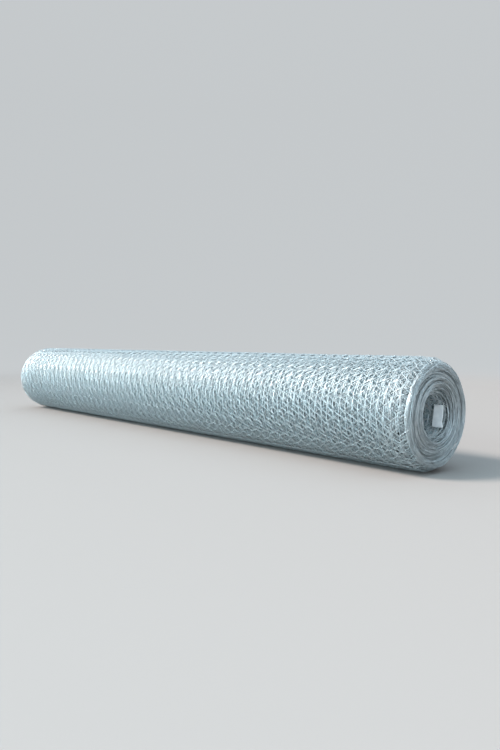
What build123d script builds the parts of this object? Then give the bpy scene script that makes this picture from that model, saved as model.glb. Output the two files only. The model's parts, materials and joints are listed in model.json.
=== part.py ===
"""A roll of galvanised chicken wire, 1.5 m wide, lying on its side with its axis along X.

Hexagonal netting is wound on itself into a thick-walled cylinder with a bore. Here the winding is one
turned solid. The selvages are wound tighter than the mesh between them, so the outer laps draw in towards
both ends and the shoulders are round. Each ring on an end stands for three or four laps of netting, and
the rings step in and out as the laps of a real roll do. The innermost laps are loose, with gaps between
them. A bare card is sprung into the mouth of the bore at one end.

The frame: +X points to the end with the card, +Z is up, and the origin is on the floor below the middle.
"""

import os
from math import pi, sin, sqrt

from build123d import *

# The roll
roll_length = 1500.0  # the width of the netting, from selvage to selvage
roll_diameter = 195.0
tight_diameter = 92.0  # where the tightly wound wall begins
bore_diameter = 62.0  # the clear bore, inside the loose laps

# The shoulders and the lips of the bore
neck_drop = 5.0  # how far the outermost lap draws in at an end
neck_reach = 30.0  # how far from the end it begins to
shoulder_width = 28.0  # the outer laps over which the end rounds off
shoulder_drop = 13.0
lip_width = 8.0  # the inner laps of the wall over which the end dips to the bore
lip_drop = 5.0

# The tight laps, as they show on an end
ring_width = 3.0  # about the thickness of four laps
ring_step = 4.5  # how far back the laps stand between two bunches that are flush with the end
bunch = 5  # rings from one flush one to the next
ring_wave = 2.3  # radians of the variation from one ring to the next

# The loose laps that line the bore
loose_turns = 4
loose_thickness = 2.0
loose_drop = 6.0  # how far the outermost loose lap stands back from the end
loose_slope = 3.0  # how much further back each next one stands
inner_drop = 42.0  # how far the innermost one stands back, which leaves the card its seat
gap_depth = 60.0  # how far in from the end the gaps between loose laps are open

# The card
card_height = 38.0
card_length = 22.0
card_thickness = 0.5
card_setback = 15.0  # from the end of the roll to the card's outer edge
card_clearance = 0.15  # between the card's long edges and the lap that they bear on
card_angle = -10.0  # degrees round the bore from level to the middle of the card

roll_r = roll_diameter / 2
neck_r = roll_r - neck_drop
tight_r = tight_diameter / 2
bore_r = bore_diameter / 2
loose_pitch = (tight_r - bore_r) / loose_turns
half_length = roll_length / 2


def rounding(depth, width, drop):
    """How far a quarter ellipse, width by drop, has fallen back at depth from its outer edge."""
    share = min(1.0, max(0.0, 1 - depth / width))
    return drop * (1 - sqrt(1 - share**2))


def ring_drop(r, index):
    """How far a ring of the wall at radius r stands back from the end of the roll."""
    swell = sin(pi * (index % bunch) / bunch) ** 2
    stagger = ring_step * swell * (0.7 + 0.3 * sin(ring_wave * index))
    shoulder = rounding(neck_r - r, shoulder_width, shoulder_drop)
    lip = rounding(r - tight_r, lip_width, lip_drop)
    return stagger + shoulder + lip


def end_corners():
    """Radius and setback of each corner of an end, from the bore outwards."""
    corners = []

    # Loose laps, each with the gap outside it
    for i in range(loose_turns):
        inner = bore_r + i * loose_pitch
        outer = inner + min(loose_thickness, 0.8 * loose_pitch)
        drop = inner_drop if i == 0 else loose_drop + (loose_turns - 1 - i) * loose_slope
        corners += [(inner, drop), (outer, drop), (outer, gap_depth), (inner + loose_pitch, gap_depth)]

    # Tight rings, side by side
    count = max(1, round((neck_r - tight_r) / ring_width))
    width = (neck_r - tight_r) / count
    for i in range(count):
        inner = tight_r + i * width
        drop = ring_drop(inner + width / 2, i)
        corners += [(inner, drop), (inner + width, drop)]
    return corners


# The wound netting, turned about the roll's own axis
corners = end_corners()
side_end = half_length - neck_reach

with BuildPart() as netting_roll:
    with BuildSketch(Plane(origin=(0, 0, roll_r), x_dir=(1, 0, 0), z_dir=(0, -1, 0))):
        with BuildLine():
            near_end = Polyline(*[(half_length - drop, r) for r, drop in corners])
            far_end = Polyline(*[(drop - half_length, r) for r, drop in corners])
            TangentArc((side_end, roll_r), near_end @ 1, tangent=(1, 0))
            TangentArc((-side_end, roll_r), far_end @ 1, tangent=(-1, 0))
            Line((-side_end, roll_r), (side_end, roll_r))
            Line(far_end @ 0, near_end @ 0)
        make_face()
    revolve(axis=Axis((0, 0, roll_r), (1, 0, 0)))

# The card, flat across the back of the mouth, with both long edges on the first lap that reaches there
card_foot = Plane(
    origin=(half_length - card_setback - card_length, 0, roll_r),
    x_dir=(0, 1, 0),
    z_dir=(1, 0, 0),
)
seat_r = bore_r + loose_pitch - card_clearance
card_offset = sqrt(seat_r**2 - (card_height / 2) ** 2)

with BuildPart() as paper_tag:
    with BuildSketch(card_foot):
        with PolarLocations(card_offset - card_thickness / 2, 1, start_angle=card_angle):
            Rectangle(card_thickness, card_height)
    extrude(amount=card_length)

netting_roll.part.label = "netting_roll"
paper_tag.part.label = "paper_tag"

os.makedirs("parts", exist_ok=True)
export_step(netting_roll.part, "parts/netting_roll.step")
export_step(paper_tag.part, "parts/paper_tag.step")
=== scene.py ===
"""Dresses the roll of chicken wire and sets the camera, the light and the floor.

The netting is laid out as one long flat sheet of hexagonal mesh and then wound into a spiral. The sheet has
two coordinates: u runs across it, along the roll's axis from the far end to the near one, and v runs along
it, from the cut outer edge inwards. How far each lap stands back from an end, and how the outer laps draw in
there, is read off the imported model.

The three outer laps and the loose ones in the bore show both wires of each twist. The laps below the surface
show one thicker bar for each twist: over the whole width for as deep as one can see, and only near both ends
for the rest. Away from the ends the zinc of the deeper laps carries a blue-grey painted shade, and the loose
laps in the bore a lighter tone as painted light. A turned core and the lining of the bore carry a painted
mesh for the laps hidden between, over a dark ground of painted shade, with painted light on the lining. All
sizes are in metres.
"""

import json

import bpy
import numpy as np
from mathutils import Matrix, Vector
from mathutils.bvhtree import BVHTree


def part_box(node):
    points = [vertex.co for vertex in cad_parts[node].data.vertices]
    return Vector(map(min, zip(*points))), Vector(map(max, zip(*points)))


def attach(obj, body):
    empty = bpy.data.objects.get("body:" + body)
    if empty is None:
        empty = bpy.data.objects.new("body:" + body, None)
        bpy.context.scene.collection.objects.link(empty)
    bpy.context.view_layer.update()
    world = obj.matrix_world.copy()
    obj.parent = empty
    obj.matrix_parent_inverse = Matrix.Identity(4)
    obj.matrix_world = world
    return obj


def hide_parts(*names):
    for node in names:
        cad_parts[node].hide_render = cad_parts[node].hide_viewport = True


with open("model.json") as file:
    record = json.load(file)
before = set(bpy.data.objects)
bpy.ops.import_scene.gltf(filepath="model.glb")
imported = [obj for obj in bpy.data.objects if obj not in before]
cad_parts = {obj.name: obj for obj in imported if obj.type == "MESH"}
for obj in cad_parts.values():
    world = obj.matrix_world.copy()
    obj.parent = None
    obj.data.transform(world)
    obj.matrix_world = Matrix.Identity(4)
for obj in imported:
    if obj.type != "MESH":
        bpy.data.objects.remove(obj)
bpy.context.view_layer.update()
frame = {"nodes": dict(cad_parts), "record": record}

rng = np.random.default_rng(31)

# The roll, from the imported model
roll_low, roll_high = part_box("netting_roll")
half_length = (roll_high.x - roll_low.x) / 2
roll_r = (roll_high.z - roll_low.z) / 2
axis_z = (roll_high.z + roll_low.z) / 2
bore = frame["record"]["mounts"][0]["dims"]
bore_r = bore["r_mm"] / 1000
inner_drop = half_length - bore["length_mm"] / 2000
tag_low, tag_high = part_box("paper_tag")
tag_middle = (tag_low + tag_high) / 2
tag_angle = np.arctan2(tag_middle.z - axis_z, tag_middle.y)

# The netting
wire_r = 0.00040
slant_r = 0.92 * wire_r  # of the slanting wires below the surface
bar_r = 0.0008  # of a twist of two wires, filled with zinc
selvage_r = 0.0005
selvage_step = 0.0075
selvage_inset = 0.002  # from the cut edges of the sheet
edge_margin = 0.0003  # between the end of the roll and the wires round the selvage
column_count = 110  # the spaces between columns of twists, each half a mesh
row_pitch = 0.02425  # from one row of twists to the next, half a mesh
twist_length = 0.0155
twist_half_turns = 3
mesh_jitter = 0.0002

# The winding
tight_r = 0.046  # where the tight wall begins
tight_laps_about = 63
loose_laps = 6
seat_r = 0.03475  # the radius of the lap that the card bears on
seat_probe_r = seat_r + 0.001  # a radius within that lap
full_laps = 21  # laps of the tight wall that are wire over the whole width
end_columns = 3  # spaces between columns, at each end, that are wire in the laps below those
free_edge_angle = np.radians(-52)  # of the netting's cut edge, from +Y towards +Z
surface_clearance = 0.0004
spiral_steps = 90  # to a turn

# How unevenly the laps stand at the ends. Steps are counted to a turn, and shares are of the wall.
drop_reach = 0.12  # how far in from an end the mesh is squeezed to stand back
drop_blur = 7  # readings off the solid
seat_blend = 0.3  # turns over which the netting steps back behind the card
ragged = 0.0048  # from one lap to the next
ragged_shoulder = 0.0075  # the same for the outer laps
ragged_steps = 3
shoulder_from, shoulder_blend = 0.75, 0.2  # shares
wobble = 0.0012  # of each selvage, over a few meshes
wobble_steps = 14
sway = 0.0040  # of whole bunches of laps, round the roll
sway_bunches = 12
sway_sides = 5  # places round the roll
sway_gain, sway_cut = 1.7, 0.7  # these leave some bunches flush
tip_reach = 0.03  # how far in from an end the radii are uneven
end_jitter = 0.0009  # of the radii
jitter_steps = 6
extra_neck = 0.0030  # how much more than the solid the outermost lap draws in
extra_neck_from = 0.6  # share
lap_shift = 0.0005  # how far a lap may slide along the roll
slide_steps = 2
slide_fade = 0.05  # how far in from an end it slides in full
wave_height = 0.0016  # of the loose laps
wave_steps = 3
wave_stop = 0.7  # turns before the card's seat
wave_blend = 0.5  # turns

# Gaps between bunches of laps. Shares are of the wall.
gap_count = 14  # at each end
gap_first, gap_last = 0.08, 0.92  # shares
gap_scatter = 0.035  # share
gap_edge = 0.01  # share over which a gap opens
gap_width = 0.0030
gap_range = (0.5, 1.2)  # of the widths, as shares of that one
gap_reach = 0.035  # how far in from an end the gaps close
gap_spread, gap_fade = 0.35, 0.9  # how far round the roll a gap is open

# Hollows and bulges of the whole roll
lump_depth = 0.0014
floor_flatness = 0.3  # how soon they fade towards the floor

# The hidden laps, as a painted core and lining: a dark ground of painted shade, and painted light on the
# lining of the bore
core_inset = 0.03  # from the ends of the roll
lining_depth = 0.006
lining_inset = 0.001
core_rings = 50
core_sides = 96
painted_meshes = ((0.017, 0.7, 0.0), (0.015, 0.5, 0.3), (0.013, 0.4, 0.7))  # size, brightness and offset; the dimmer deeper meshes are painted shade

# The card
card_thickness = 0.0005
card_share = 0.84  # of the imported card's length, which leaves room for the bent corner
card_bow = 0.0012
card_ripple = 0.0003
corner_from = 1.2  # where the bend begins, on the way from the card's middle to the corner, which is at 2
corner_bend = 0.002
corner_reach = 0.007
card_rows, card_columns = 25, 15

# Zinc, from dull to bright, in the open, and a lighter copy on the loose laps in the bore, which is painted
# light for the dark bore
zinc = ((0.45, 0.50, 0.525), (0.51, 0.56, 0.58), (0.57, 0.62, 0.64))
bore_zinc_painted_light = ((0.62, 0.68, 0.71), (0.75, 0.81, 0.83), (0.85, 0.90, 0.91))
zinc_mottling = 130

# Painted shade for the laps below the surface, away from the ends: the light that they miss, painted into
# their colour
deep_painted_shade = (0.75, 0.83, 0.85)
shade_from, shade_full = 0.003, 0.016  # below the surface
shade_end_from, shade_end_full = 0.04, 0.10  # from the ends

# The floor and the backdrop
floor_hole = 0.0001  # in the middle, under the roll
floor_flat = 3.0
floor_bend = 5.0
bend_angle, bend_steps = np.radians(75), 24
wall_r = 9.0
wall_top = 5.8
dome_angle, dome_steps = np.radians(89), 12  # nearly closed at the top
floor_colour = (0.256, 0.237, 0.227)
wall_glow = (0.55, 0.575, 0.59)
glow_from, glow_full = 1.8, 3.6  # from the roll
facet = 4  # degrees, of both

# Camera, as in the photograph
photo_height = 750
focal_px = 650
sensor_width = 36
view_azimuth = np.radians(36.87)
pan_left = np.radians(11.6)
tilt_down = np.radians(3.1)
near_end_right = 0.094  # from the camera to the near end's centre
near_end_ahead = 1.092
near_end_below = 0.123


def smooth(t):
    """An even step from 0 to 1 as t goes from 0 to 1."""
    t = np.clip(t, 0, 1)
    return t * t * (3 - 2 * t)


def drift(table, at):
    """A smooth random curve through a table of values, at a place counted in its steps."""
    at = np.clip(at, 0, len(table) - 1.001)
    low = at.astype(int)
    return table[low] + (table[low + 1] - table[low]) * smooth(at - low)


def drift_round(table, at, angle):
    """The same for a table with one row to a step, whose columns go once round the roll."""
    at = np.clip(at, 0, table.shape[0] - 1.001)
    turn = np.mod(angle / (2 * np.pi), 1) * table.shape[1]
    low, column = at.astype(int), turn.astype(int) % table.shape[1]
    after = (column + 1) % table.shape[1]
    across = smooth(turn - column)
    first = table[low, column] * (1 - across) + table[low, after] * across
    second = table[low + 1, column] * (1 - across) + table[low + 1, after] * across
    return first + (second - first) * smooth(at - low)


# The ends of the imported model: how far each ring stands back, and how the outer laps draw in
solid = BVHTree.FromObject(frame["nodes"]["netting_roll"], bpy.context.evaluated_depsgraph_get())
probe_angle = np.radians(50)
probe_radii = np.arange(bore_r + 0.0004, roll_r - 0.006, 0.0005)
probe_depths = np.arange(0.0, 0.06, 0.001)
gap_bottom = inner_drop + 0.01  # deeper than any lap stands back
ring_edge = 0.0004  # a larger step from one depth to the next is the edge of a ring


def measured_drops():
    """Setback of the solid's end at each radius. A gap between loose laps counts as the lap inside it."""
    drops = []
    for r in probe_radii:
        start = Vector((1, r * np.cos(probe_angle), axis_z + r * np.sin(probe_angle)))
        drop = half_length - solid.ray_cast(start, Vector((-1, 0, 0)))[0].x
        drops.append(drops[-1] if drop > gap_bottom else drop)
    return np.array(drops)


def measured_neck():
    """Radius of the solid at distances from its end, as far out as its outermost lap goes."""
    down = Vector((0, 0, -1))
    radii = [solid.ray_cast(Vector((half_length - d, 0, 1)), down)[0].z - axis_z for d in probe_depths]
    outermost = int(np.argmax(np.abs(np.diff(radii)) < ring_edge))
    return probe_depths[outermost:], np.array(radii[outermost:])


drops = measured_drops()
padded_drops = np.pad(drops, drop_blur // 2, mode="edge")
smooth_drops = np.convolve(padded_drops, np.ones(drop_blur) / drop_blur, mode="valid")
neck_depths, neck_radii = measured_neck()
neck_share = (neck_radii[0] - tight_r) / (roll_r - tight_r)

# Turns of the spiral. The innermost laps stand back behind the card, from a point opposite it inwards.
loose_end_r = bore_r + 2 * wire_r
loose_pitch = (tight_r - loose_end_r) / loose_laps
loose_to_seat = (tight_r - seat_r) / loose_pitch
opposite_tag = (tag_angle + np.pi - free_edge_angle) / (2 * np.pi)
tight_laps = np.ceil(tight_laps_about - opposite_tag + loose_to_seat) + opposite_tag - loose_to_seat
seat_turn = tight_laps + loose_to_seat
lap_pitch = (roll_r - surface_clearance - 2 * wire_r - tight_r) / tight_laps


def spiral():
    """Length along the netting, turns and radius of the winding, finely stepped."""
    turn = np.linspace(0, tight_laps + loose_laps, int((tight_laps + loose_laps) * spiral_steps))
    into = np.maximum(turn - tight_laps, 0)
    radius = tight_r + lap_pitch * np.maximum(tight_laps - turn, 0) - loose_pitch * into
    step = np.hypot(np.diff(radius), radius[1:] * 2 * np.pi * np.diff(turn))
    return np.concatenate([[0], np.cumsum(step)]), turn, radius


run_v, run_turn, run_radius = spiral()
turns = run_turn[-1]
sheet_length = run_v[-1]
sheet_width = 2 * half_length
edge_u = edge_margin + 2 * wire_r + selvage_r
column_pitch = (sheet_width - 2 * edge_u) / column_count
row_count = int(sheet_length / row_pitch)

# Random draws. Those with a first axis of 2 are for the far end and the near one.
shift_u = rng.normal(0, mesh_jitter, (column_count + 1, row_count + 2))
shift_v = rng.normal(0, mesh_jitter, (column_count + 1, row_count + 2))
shift_u[0] = shift_u[-1] = 0
shift_v[0] = shift_v[-1] = 0
lap_slide = rng.uniform(-lap_shift, lap_shift, int(turns * slide_steps) + 3)
lap_ragged = rng.random((2, int(turns * ragged_steps) + 4))
lap_wobble = rng.random((2, int(turns * wobble_steps) + 4))
lap_jitter = rng.random((2, int(turns * jitter_steps) + 4))
bunch_sway = rng.random((2, sway_bunches, sway_sides))
gap_places = np.linspace(gap_first, gap_last, gap_count)
gap_at = gap_places + rng.uniform(-gap_scatter, gap_scatter, (2, gap_count))
gap_angle = rng.uniform(0, 2 * np.pi, (2, gap_count))
gap_size = gap_width * rng.uniform(*gap_range, (2, gap_count))
loose_wave = rng.uniform(-1, 1, (loose_laps * wave_steps + 4))


def lumps(x, angle):
    """How far the roll's surface lies inside a true cylinder, from 0 to 1. It lies flat on the floor."""
    long_waves = np.sin(7.3 * x + 1.1 * np.cos(angle) + 0.4) + np.sin(15.1 * x - 1.7 * np.sin(angle) + 2.1)
    lobes = np.sin(2 * angle + 3.9 * x) + 0.7 * np.sin(3 * angle - 9.7 * x + 1.3)
    off_floor = smooth((1 + np.sin(angle)) / floor_flatness)
    return np.clip(0.5 + 0.14 * long_waves + 0.16 * lobes, 0, 1) * off_floor


def end_drop(turn, radius, angle, end):
    """How far the netting stands back from an end. end is 0 for the far one and 1 for the near one."""
    uneven = drift(lap_ragged[end], turn * ragged_steps)

    # The tight laps, read off the solid, with ragged edges. Whole bunches sway in and out round the roll.
    tight = turn < tight_laps
    end_radius = np.where(tight, tight_r + (radius - tight_r) * neck_share, radius)
    wall = np.interp(end_radius, probe_radii, smooth_drops)
    share = np.clip((radius - bore_r) / (roll_r - bore_r), 0, 1)
    by_share = ragged + (ragged_shoulder - ragged) * smooth((share - shoulder_from) / shoulder_blend)
    wall = wall + by_share * uneven + wobble * drift(lap_wobble[end], turn * wobble_steps)
    swayed = drift_round(bunch_sway[end], share * (sway_bunches - 1), angle)
    wall = wall + sway * np.clip(sway_gain * swayed - sway_cut, 0, 1)

    # The loose laps. Those inside the card's seat stand back behind the card.
    seat_drop = np.interp(seat_probe_r, probe_radii, drops)
    loose = np.interp(np.maximum(radius, seat_probe_r), probe_radii, drops) + ragged * uneven
    behind = smooth((turn - seat_turn) / seat_blend + 0.5)
    loose = loose + (inner_drop - seat_drop) * behind
    return np.where(tight, wall, loose)


def opened(radius, angle, depth, end):
    """The radius of a lap once gaps have opened between bunches of laps near an end."""
    share = (radius - tight_r) / (roll_r - tight_r)
    moved = 0
    for at, middle, size in zip(gap_at[end], gap_angle[end], gap_size[end]):
        window = smooth(gap_spread + gap_fade * np.cos(angle - middle))
        past = np.clip((share - at) / gap_edge + 0.5, 0, 1)
        moved = moved + size * window * (past - share) * (share > 0)
    return radius + moved * smooth(1 - depth / gap_reach)


def place(u, v, lift):
    """Where a point of the sheet lies once it is wound. lift moves it outwards."""
    turn = np.interp(v, run_v, run_turn)
    radius = np.interp(v, run_v, run_radius)
    angle = 2 * np.pi * turn + free_edge_angle
    off_ends = smooth(u / slide_fade) * smooth((sheet_width - u) / slide_fade)
    slide = drift(lap_slide, turn * slide_steps) * off_ends
    from_far = smooth(1 - u / drop_reach)
    from_near = smooth(1 - (sheet_width - u) / drop_reach)
    drop_far, drop_near = end_drop(turn, radius, angle, 0), end_drop(turn, radius, angle, 1)
    x = u - half_length + slide + drop_far * from_far - drop_near * from_near

    # Bunches of laps part near the ends, and the outer laps draw in
    depth = half_length - np.abs(x)
    radius = np.where(x > 0, opened(radius, angle, depth, 1), opened(radius, angle, depth, 0))
    share = np.clip((radius - tight_r) / (roll_r - tight_r), 0, 1.02)
    near_tip = smooth(1 - depth / tip_reach)
    neck = (roll_r - np.interp(depth, neck_depths, neck_radii)) * share
    neck = neck + extra_neck * near_tip * smooth((share - extra_neck_from) / (1 - extra_neck_from))

    # Uneven radii near the ends, and waves in the loose laps outside the card's seat
    jitter_at = turn * jitter_steps
    jitter = np.where(x > 0, drift(lap_jitter[1], jitter_at), drift(lap_jitter[0], jitter_at))
    jitter = end_jitter * near_tip * jitter * (turn < tight_laps)
    loose = (turn > tight_laps) * smooth((seat_turn - wave_stop - turn) / wave_blend)
    wave = wave_height * loose * drift(loose_wave, (turn - tight_laps) * wave_steps)

    radius = radius + lift + wave - jitter - neck - lump_depth * share * lumps(x, angle)
    return np.stack([x, radius * np.cos(angle), axis_z + radius * np.sin(angle)], -1)


def unit(a):
    """Vectors scaled to a length of 1."""
    return a / np.maximum(np.linalg.norm(a, axis=-1, keepdims=True), 1e-12)


def rings(points, along, radius, sides):
    """Rings of vertices round points, square to the direction along."""
    outward = unit(points * (0, 1, 1) - (0, 0, axis_z))
    across = unit(np.cross(along, outward))
    outward = np.cross(across, unit(along))
    turn = 2 * np.pi * np.arange(sides) / sides
    ring = np.cos(turn)[:, None] * outward[..., None, :] + np.sin(turn)[:, None] * across[..., None, :]
    return points[..., None, :] + radius * ring


def strips(first, second, sides):
    """Four-sided faces between pairs of rings, given the rings' numbers."""
    a = first.reshape(-1, 1) * sides + np.arange(sides)
    b = second.reshape(-1, 1) * sides + np.arange(sides)
    return np.stack([a, np.roll(a, -1, 1), np.roll(b, -1, 1), b], -1).reshape(-1, 4)


def twists(columns, rows):
    """The twists between two columns and two rows: column, row, number, reach of the wires, u and v.

    number is a table, by column and row, of each twist's place in these lists, and -1 where there is none.
    """
    k = np.arange(columns[0], columns[1] + 1)
    j = np.arange(rows[0], rows[1] + 1)
    k, j = np.meshgrid(k, j, indexing="ij")
    there = (k + j) % 2 == 0
    k, j = k[there], j[there]
    number = -np.ones((column_count + 3, row_count + 4), int)
    number[k, j] = np.arange(len(k))
    at_edge = (k == 0) | (k == column_count)
    reach = np.where(at_edge, wire_r + selvage_r, wire_r)[:, None, None]
    u = edge_u + column_pitch * k + shift_u[k, j]
    v = row_pitch * (j + 0.5) + shift_v[k, j]
    return k, j, number, reach, u, v


def straight(line, radius):
    """Three-sided rings at both ends of straight pieces of wire."""
    return rings(line, np.repeat(line[:, 1:] - line[:, :1], 2, 1), radius, 3)


def plain_netting(columns, rows):
    """The mesh between two columns and two rows, below the surface: each twist is one thicker bar."""
    k, j, number, reach, u, v = twists(columns, rows)
    side = np.array([-1, 1])[:, None]
    u = u[:, None]
    v = v[:, None] + np.array([-0.5, 0.5]) * twist_length
    bars = place(u, v, 0)
    ends = place(u[..., None] + side * reach, v[:, None, :], 0)

    inside = np.nonzero(j < rows[1])[0]
    vertices = [straight(bars, bar_r).reshape(-1, 3)]
    faces = [strips(inside * 2, inside * 2 + 1, 3)]
    base = len(k) * 2
    for s, step in enumerate((-1, 1)):
        after = number[k + step, j + 1]
        whole = np.nonzero((after >= 0) & (j < rows[1]))[0]
        line = np.stack([ends[whole, s, 1], ends[after[whole], 1 - s, 0]], 1)
        start = base + np.arange(len(whole)) * 2
        vertices.append(straight(line, slant_r).reshape(-1, 3))
        faces.append(strips(start, start + 1, 3))
        base = base + len(whole) * 2
    return np.concatenate(vertices), np.concatenate(faces)


def netting(columns, rows, sides, points):
    """The same mesh with both wires of each twist, as wires of so many sides with points along a twist."""
    k, j, number, reach, u, v = twists(columns, rows)

    # Two strands in each twist, one bound for the next column and one for the last
    t = np.linspace(0, 1, points)
    phase = np.pi * twist_half_turns * t
    side = np.array([1, -1])[:, None]
    u = u[:, None, None] - side * reach * np.cos(phase)
    v = v[:, None, None] + (t - 0.5) * twist_length
    centre = place(u, v, side * np.minimum(reach, wire_r) * np.sin(phase))

    # Directions at the ends of a strand look past the twist to its neighbours
    path = np.concatenate([centre[:, :, :1], centre, centre[:, :, -1:]], 2)
    slants = []
    for s, step in enumerate((1, -1)):
        after = number[k + step, j + 1]
        before = np.where((k - step >= 0) & (j > 0), number[k - step, j - 1], -1)
        path[after >= 0, s, -1] = centre[after[after >= 0], s, 0]
        path[before >= 0, s, 0] = centre[before[before >= 0], s, -1]
        whole = (after >= 0) & (j < rows[1])
        start = (np.nonzero(whole)[0] * 2 + s) * points + points - 1
        slants.append((start, (after[whole] * 2 + s) * points))
    along = unit(path[:, :, 1:-1] - path[:, :, :-2]) + unit(path[:, :, 2:] - path[:, :, 1:-1])
    vertices = rings(centre, along, wire_r, sides).reshape(-1, 3)

    inside = np.nonzero(j < rows[1])[0]
    start = (inside[:, None, None] * 2 + np.arange(2)[:, None]) * points + np.arange(points - 1)
    faces = [strips(start, start + 1, sides)] + [strips(a, b, sides) for a, b in slants]
    return vertices, np.concatenate(faces)


def selvage(end):
    """The edge wire of the netting, one long spiral at an end of the roll."""
    count = int(sheet_length / selvage_step)
    v = np.linspace(selvage_inset, sheet_length - selvage_inset, count)
    u = edge_u if end == 0 else sheet_width - edge_u
    centre = place(np.full(count, u), v, 0)
    along = np.gradient(centre, axis=0)
    number = np.arange(count - 1)
    return rings(centre, along, selvage_r, 4).reshape(-1, 3), strips(number, number + 1, 4)


def grid(x, y, z):
    """Vertices of a grid, from its coordinates."""
    return np.stack(np.broadcast_arrays(x, y, z), -1).reshape(-1, 3)


def core(inner_r, outer_r):
    """A closed tube round the roll's axis, a little shorter than the roll."""
    end = half_length - core_inset
    steps = np.linspace(-end, end, core_rings)
    x = np.concatenate([steps, steps[::-1]])[:, None]
    r = np.repeat([outer_r, inner_r], core_rings)[:, None]
    angle = 2 * np.pi * np.arange(core_sides) / core_sides
    share = np.clip((r - tight_r) / (roll_r - tight_r), 0, 1)
    r = r - lump_depth * share * lumps(x, angle)
    number = np.arange(len(x))
    faces = strips(number, np.roll(number, -1), core_sides)
    return grid(x, r * np.cos(angle), axis_z + r * np.sin(angle)), faces


def card():
    """The card, a little bowed, with one corner bent out. Two skins and the rim between them."""
    length = card_share * (tag_high.x - tag_low.x)
    high = (tag_high.z - tag_low.z - card_thickness * abs(np.sin(tag_angle))) / np.cos(tag_angle)
    middle_r = np.hypot(tag_middle.y, tag_middle.z - axis_z)

    # a runs up the card and b along the roll, each from -1 to 1
    a, b = np.meshgrid(np.linspace(-1, 1, card_rows), np.linspace(-1, 1, card_columns), indexing="ij")
    bow = card_bow * (1 - a * a) + card_ripple * np.sin(3.1 * a + 1.7 * b)
    corner = np.clip(b - a - corner_from, 0, None) ** 2
    out = bow - corner_bend * corner
    worn = card_ripple * np.sin(9 * a + 2) * (np.abs(b) > 0.99)
    skins = []
    for face in (-0.5, 0.5):
        r = middle_r + out + face * card_thickness
        across = a * high / 2
        x = tag_middle.x + b * length / 2 + worn + corner_reach * corner
        y = r * np.cos(tag_angle) - across * np.sin(tag_angle)
        z = axis_z + r * np.sin(tag_angle) + across * np.cos(tag_angle)
        skins.append(grid(x, y, z))

    number = np.arange(a.size).reshape(a.shape)
    corners = [number[:-1, :-1], number[:-1, 1:], number[1:, 1:], number[1:, :-1]]
    quads = np.stack(corners, -1).reshape(-1, 4)
    rim = np.concatenate([number[0, :-1], number[:-1, -1], number[-1, :0:-1], number[:0:-1, 0]])
    following = np.roll(rim, -1)
    edge = np.stack([rim, rim + a.size, following + a.size, following], -1)
    return np.concatenate(skins), np.concatenate([quads[:, ::-1], quads + a.size, edge[:, ::-1]])


def turned_up(radii, heights):
    """A surface turned about the upright axis, from radii and heights."""
    around = np.radians(np.arange(0, 360, facet))
    number = np.arange(len(radii) - 1)
    faces = strips(number, number + 1, len(around))
    return grid(radii[:, None] * np.cos(around), radii[:, None] * np.sin(around), heights[:, None]), faces


def mesh_object(name, shape, material):
    """An object from its vertices and four-sided faces, without the vertices that no face has."""
    vertices, faces = shape
    used, faces = np.unique(faces, return_inverse=True)
    faces = faces.reshape(-1, 4)
    data = bpy.data.meshes.new(name)
    data.vertices.add(len(used))
    data.vertices.foreach_set("co", vertices[used].ravel())
    data.loops.add(faces.size)
    data.loops.foreach_set("vertex_index", faces.ravel())
    data.polygons.add(len(faces))
    data.polygons.foreach_set("loop_start", np.arange(0, faces.size, 4))
    data.update(calc_edges=True)
    data.polygons.foreach_set("use_smooth", np.ones(len(faces), bool))
    data.materials.append(material)
    made = bpy.data.objects.new(name, data)
    bpy.context.collection.objects.link(made)
    return made


def make_piece(name, shape, material, node="netting_roll"):
    """A piece of the netting, or the card."""
    piece = mesh_object(name, shape, material)
    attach(piece, "root")
    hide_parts(node)


def stage_piece(name, shape, material):
    """The floor, or the backdrop above it."""
    piece = mesh_object(name, shape, material)
    return piece


def make_light(name, kind, energy, colour, at, to):
    """A light at a place, turned to another."""
    data = bpy.data.lights.new(name, kind)
    data.energy = energy
    data.color = colour
    light = bpy.data.objects.new(name, data)
    bpy.context.collection.objects.link(light)
    light.location = at
    light.rotation_euler = (Vector(to) - Vector(at)).to_track_quat("-Z", "Y").to_euler()
    return data


def node_material(name):
    """A new material, its node tree and its shader."""
    material = bpy.data.materials.new(name)
    material.use_nodes = True
    tree = material.node_tree
    return material, tree, tree.nodes["Principled BSDF"]


def object_place(tree):
    """The object's own coordinates."""
    return tree.nodes.new("ShaderNodeTexCoord").outputs["Object"]


def noise(tree, scale, detail):
    """Noise over the object's own coordinates."""
    cloud = tree.nodes.new("ShaderNodeTexNoise")
    cloud.inputs["Scale"].default_value = scale
    cloud.inputs["Detail"].default_value = detail
    tree.links.new(object_place(tree), cloud.inputs["Vector"])
    return cloud.outputs["Fac"]


def ramp(tree, value, stops):
    """A colour ramp over a value. stops is a list of (position, colour)."""
    node = tree.nodes.new("ShaderNodeValToRGB")
    elements = node.color_ramp.elements
    while len(elements) < len(stops):
        elements.new(0.5)
    for element, (position, colour) in zip(elements, stops):
        element.position = position
        element.color = (*colour, 1)
    tree.links.new(value, node.inputs["Fac"])
    return node.outputs["Color"]


def blend(tree, kind, first, second):
    """Two colours, multiplied or lightened by each other."""
    node = tree.nodes.new("ShaderNodeMix")
    node.data_type = "RGBA"
    node.blend_type = kind
    node.inputs["Factor"].default_value = 1
    tree.links.new(first, node.inputs["A"])
    tree.links.new(second, node.inputs["B"])
    return node.outputs["Result"]


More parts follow.
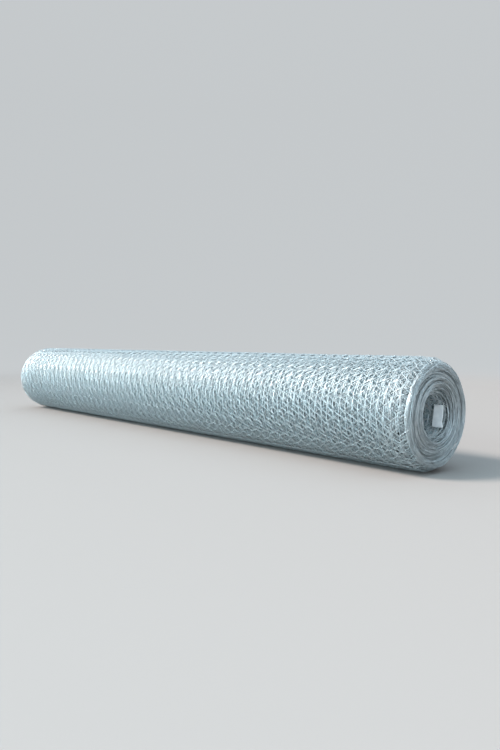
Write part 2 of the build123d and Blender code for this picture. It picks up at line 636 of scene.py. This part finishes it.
def rescaled(tree, value, start, end, result_start=0, result_end=1, interpolation="LINEAR"):
    """A value that goes from result_start to result_end while the given one goes from start to end."""
    node = tree.nodes.new("ShaderNodeMapRange")
    node.interpolation_type = interpolation
    node.inputs["From Min"].default_value = start
    node.inputs["From Max"].default_value = end
    node.inputs["To Min"].default_value = result_start
    node.inputs["To Max"].default_value = result_end
    tree.links.new(value, node.inputs["Value"])
    return node.outputs["Result"]


def distance(tree, point):
    """How far a point is from the origin."""
    node = tree.nodes.new("ShaderNodeVectorMath")
    node.operation = "LENGTH"
    tree.links.new(point, node.inputs[0])
    return node.outputs["Value"]


def painted_depth_shade(tree):
    """White at the roll's surface and near its ends, and a blue-grey painted shade for the laps that lie
    deeper.
    """
    where = object_place(tree)
    from_axis = tree.nodes.new("ShaderNodeVectorMath")
    from_axis.operation = "MULTIPLY_ADD"
    from_axis.inputs[1].default_value = (0, 1, 1)
    from_axis.inputs[2].default_value = (0, 0, -axis_z)
    tree.links.new(where, from_axis.inputs[0])
    radius = distance(tree, from_axis.outputs["Vector"])
    near_surface = rescaled(tree, radius, roll_r - shade_full, roll_r - shade_from)

    parts = tree.nodes.new("ShaderNodeSeparateXYZ")
    along = tree.nodes.new("ShaderNodeMath")
    along.operation = "ABSOLUTE"
    tree.links.new(where, parts.inputs["Vector"])
    tree.links.new(parts.outputs["X"], along.inputs[0])
    end_full, end_from = half_length - shade_end_full, half_length - shade_end_from
    near_end = rescaled(tree, along.outputs["Value"], end_full, end_from)

    either = tree.nodes.new("ShaderNodeMath")
    either.operation = "MAXIMUM"
    tree.links.new(near_surface, either.inputs[0])
    tree.links.new(near_end, either.inputs[1])
    return ramp(tree, either.outputs["Value"], [(0, deep_painted_shade), (1, (1, 1, 1))])


def wire_material(name, tones):
    """Weathered zinc: dull silver, mottled, with rougher patches where it is duller, and a blue-grey painted
    shade on the laps that lie deeper.
    """
    material, tree, shader = node_material(name)
    patches = noise(tree, zinc_mottling, detail=4)
    colour = ramp(tree, patches, list(zip((0.32, 0.5, 0.68), tones)))
    roughness = rescaled(tree, patches, 0.35, 0.65, result_start=0.66, result_end=0.46)
    # The zinc's colour is multiplied by the painted shade of the deeper laps
    tree.links.new(blend(tree, "MULTIPLY", colour, painted_depth_shade(tree)), shader.inputs["Base Color"])
    tree.links.new(roughness, shader.inputs["Roughness"])
    shader.inputs["Metallic"].default_value = 0.75
    return material


def core_material(name, light):
    """The hidden laps: crossing wires, dimmer the deeper they lie, over a dark ground. The dimming and the
    dark ground are painted shade, and light brightens it all as painted light.
    """
    material, tree, shader = node_material(name)
    # The dark ground is painted shade; light lifts it and the wires, as painted light
    dark = [light * c for c in (0.03, 0.045, 0.05)]
    pale = [light * c for c in (0.14, 0.17, 0.18)]
    colour = ramp(tree, noise(tree, scale=150, detail=4), [(0.4, dark), (0.62, pale)])
    for mesh_size, brightness, offset in painted_meshes:
        moved = tree.nodes.new("ShaderNodeMapping")
        moved.inputs["Location"].default_value = (offset, offset * 2, -offset)
        cells = tree.nodes.new("ShaderNodeTexVoronoi")
        cells.feature = "DISTANCE_TO_EDGE"
        cells.inputs["Scale"].default_value = 1 / mesh_size
        cells.inputs["Randomness"].default_value = 0.7
        tree.links.new(object_place(tree), moved.inputs["Vector"])
        tree.links.new(moved.outputs["Vector"], cells.inputs["Vector"])
        shade = [min(0.7, light * brightness * c) for c in (0.38, 0.45, 0.48)]
        lines = ramp(tree, cells.outputs["Distance"], [(0.03, shade), (0.07, (0, 0, 0))])
        colour = blend(tree, "LIGHTEN", colour, lines)
    tree.links.new(colour, shader.inputs["Base Color"])
    shader.inputs["Roughness"].default_value = 0.6
    shader.inputs["Metallic"].default_value = 0.3
    return material


def card_material():
    """Plain off-white card, a little soiled."""
    material, tree, shader = node_material("tag_card")
    soiling = noise(tree, scale=90, detail=7)
    paper = ramp(tree, soiling, [(0.3, (0.80, 0.83, 0.85)), (0.6, (0.92, 0.94, 0.95))])
    tree.links.new(paper, shader.inputs["Base Color"])
    shader.inputs["Roughness"].default_value = 0.85
    return material


def floor_material():
    """Plain and pale. The backdrop glows evenly, as a lit studio wall does, so it looks like the floor."""
    material, tree, shader = node_material("floor")
    away = distance(tree, object_place(tree))
    for socket, low, high in (
        ("Base Color", floor_colour, (0, 0, 0)),
        ("Emission Color", (0, 0, 0), wall_glow),
    ):
        rise = rescaled(tree, away, glow_from, glow_full, interpolation="SMOOTHSTEP")
        tree.links.new(ramp(tree, rise, [(0, low), (1, high)]), shader.inputs[socket])
    shader.inputs["Emission Strength"].default_value = 1
    shader.inputs["Roughness"].default_value = 0.95
    shader.inputs["Specular IOR Level"].default_value = 0.1
    return material


# Camera
ahead = Vector((-np.sin(view_azimuth), np.cos(view_azimuth), 0))
right = Vector((np.cos(view_azimuth), np.sin(view_azimuth), 0))
near_end_centre = Vector((half_length, 0, axis_z))
camera_data = bpy.data.cameras.new("camera")
camera_data.sensor_width = sensor_width
camera_data.lens = focal_px / photo_height * sensor_width
camera = bpy.data.objects.new("camera", camera_data)
bpy.context.collection.objects.link(camera)
look = view_azimuth + pan_left
aim = Vector((-np.sin(look) * np.cos(tilt_down), np.cos(look) * np.cos(tilt_down), -np.sin(tilt_down)))
camera.location = (
    near_end_centre - near_end_right * right - near_end_ahead * ahead + Vector((0, 0, near_end_below))
)
camera.rotation_euler = aim.to_track_quat("-Z", "Y").to_euler()
bpy.context.scene.camera = camera

# The netting's wires, lap by lap
wire = wire_material("galvanised_wire", zinc)
bore_wire_painted_light = wire_material("bore_wire_with_painted_light", bore_zinc_painted_light)
last = column_count
lap_row = [int(np.interp(n, run_turn, run_v) / row_pitch) for n in range(int(tight_laps) + 1)]
tight_end = int(np.interp(tight_laps, run_turn, run_v) / row_pitch)
make_piece("outer_lap", netting((0, last), (0, lap_row[1]), sides=4, points=7), wire)
second_and_third = netting((0, last), (lap_row[1], lap_row[3]), sides=3, points=4)
make_piece("second_and_third_laps", second_and_third, wire)
for name, first_lap, end_lap in (
    ("upper_laps", 3, 7),
    ("middle_laps", 7, 11),
    ("lower_laps", 11, 16),
    ("lowest_laps", 16, full_laps),
):
    make_piece(name, plain_netting((0, last), (lap_row[first_lap], lap_row[end_lap])), wire)
for name, columns in (("end_laps_far", (0, end_columns)), ("end_laps_near", (last - end_columns, last))):
    make_piece(name, plain_netting(columns, (lap_row[full_laps], tight_end)), wire)
# The loose laps take the lighter zinc, painted light for the dark bore
make_piece("loose_laps", netting((0, last), (tight_end, row_count - 1), sides=3, points=2), bore_wire_painted_light)
make_piece("selvage_far", selvage(0), wire)
make_piece("selvage_near", selvage(1), wire)

# The hidden laps, and the inner ones of the wall, which line the bore. The core carries painted shade, and
# the lining is a brighter copy with painted light for the dark bore.
core_top = roll_r - (full_laps + 1) * lap_pitch
lining_top = tight_r + lining_depth
make_piece("hidden_laps", core(lining_top, core_top), core_material("hidden_laps", light=0.9))
lining = core(tight_r + lining_inset, lining_top)
make_piece("bore_lining", lining, core_material("bore_lining", light=3.4))

# The card
make_piece("card", card(), card_material(), "paper_tag")

# The floor bends up all round into a low wall. Above that a dome closes the view and lets the light through.
bend = np.linspace(0, bend_angle, bend_steps)
floor_radii = np.concatenate([[floor_hole, floor_flat / 2], floor_flat + floor_bend * np.sin(bend), [wall_r]])
floor_heights = np.concatenate([[0, 0], floor_bend * (1 - np.cos(bend)), [wall_top]])
paint = floor_material()
stage_piece("floor", turned_up(floor_radii, floor_heights), paint)
dome = np.linspace(0, dome_angle, dome_steps)
dome_shape = turned_up(wall_r * np.cos(dome), wall_top + wall_r * np.sin(dome))
backdrop = stage_piece("backdrop", dome_shape, paint)
backdrop.visible_diffuse = False
backdrop.visible_glossy = False
backdrop.visible_shadow = False

# Light: a pale blue sky, a warm sun from the left, and cool lamps for the roll's side and its near end
world = bpy.data.worlds.new("studio")
bpy.context.scene.world = world
bpy.context.scene.view_settings.view_transform = "Standard"
world.use_nodes = True
sky = world.node_tree.nodes["Background"]
sky.inputs["Color"].default_value = (0.67, 0.87, 1.0, 1)
sky.inputs["Strength"].default_value = 1.75
key = make_light("key", "SUN", 6.3, colour=(1.0, 0.91, 0.85), at=(-1.7, -2.2, 2.3), to=(0, 0, 0))
key.angle = np.radians(16)
fill = make_light("fill", "AREA", 250, colour=(0.64, 0.91, 1.0), at=(-0.4, -3.6, 0.7), to=(0, 0, 0.1))
front = make_light("front", "AREA", 10, colour=(0.70, 0.88, 1.0), at=(2.1, -1.4, 0.7), to=near_end_centre)
fill.shape = front.shape = "DISK"
fill.size = 3.0
front.size = 1.2
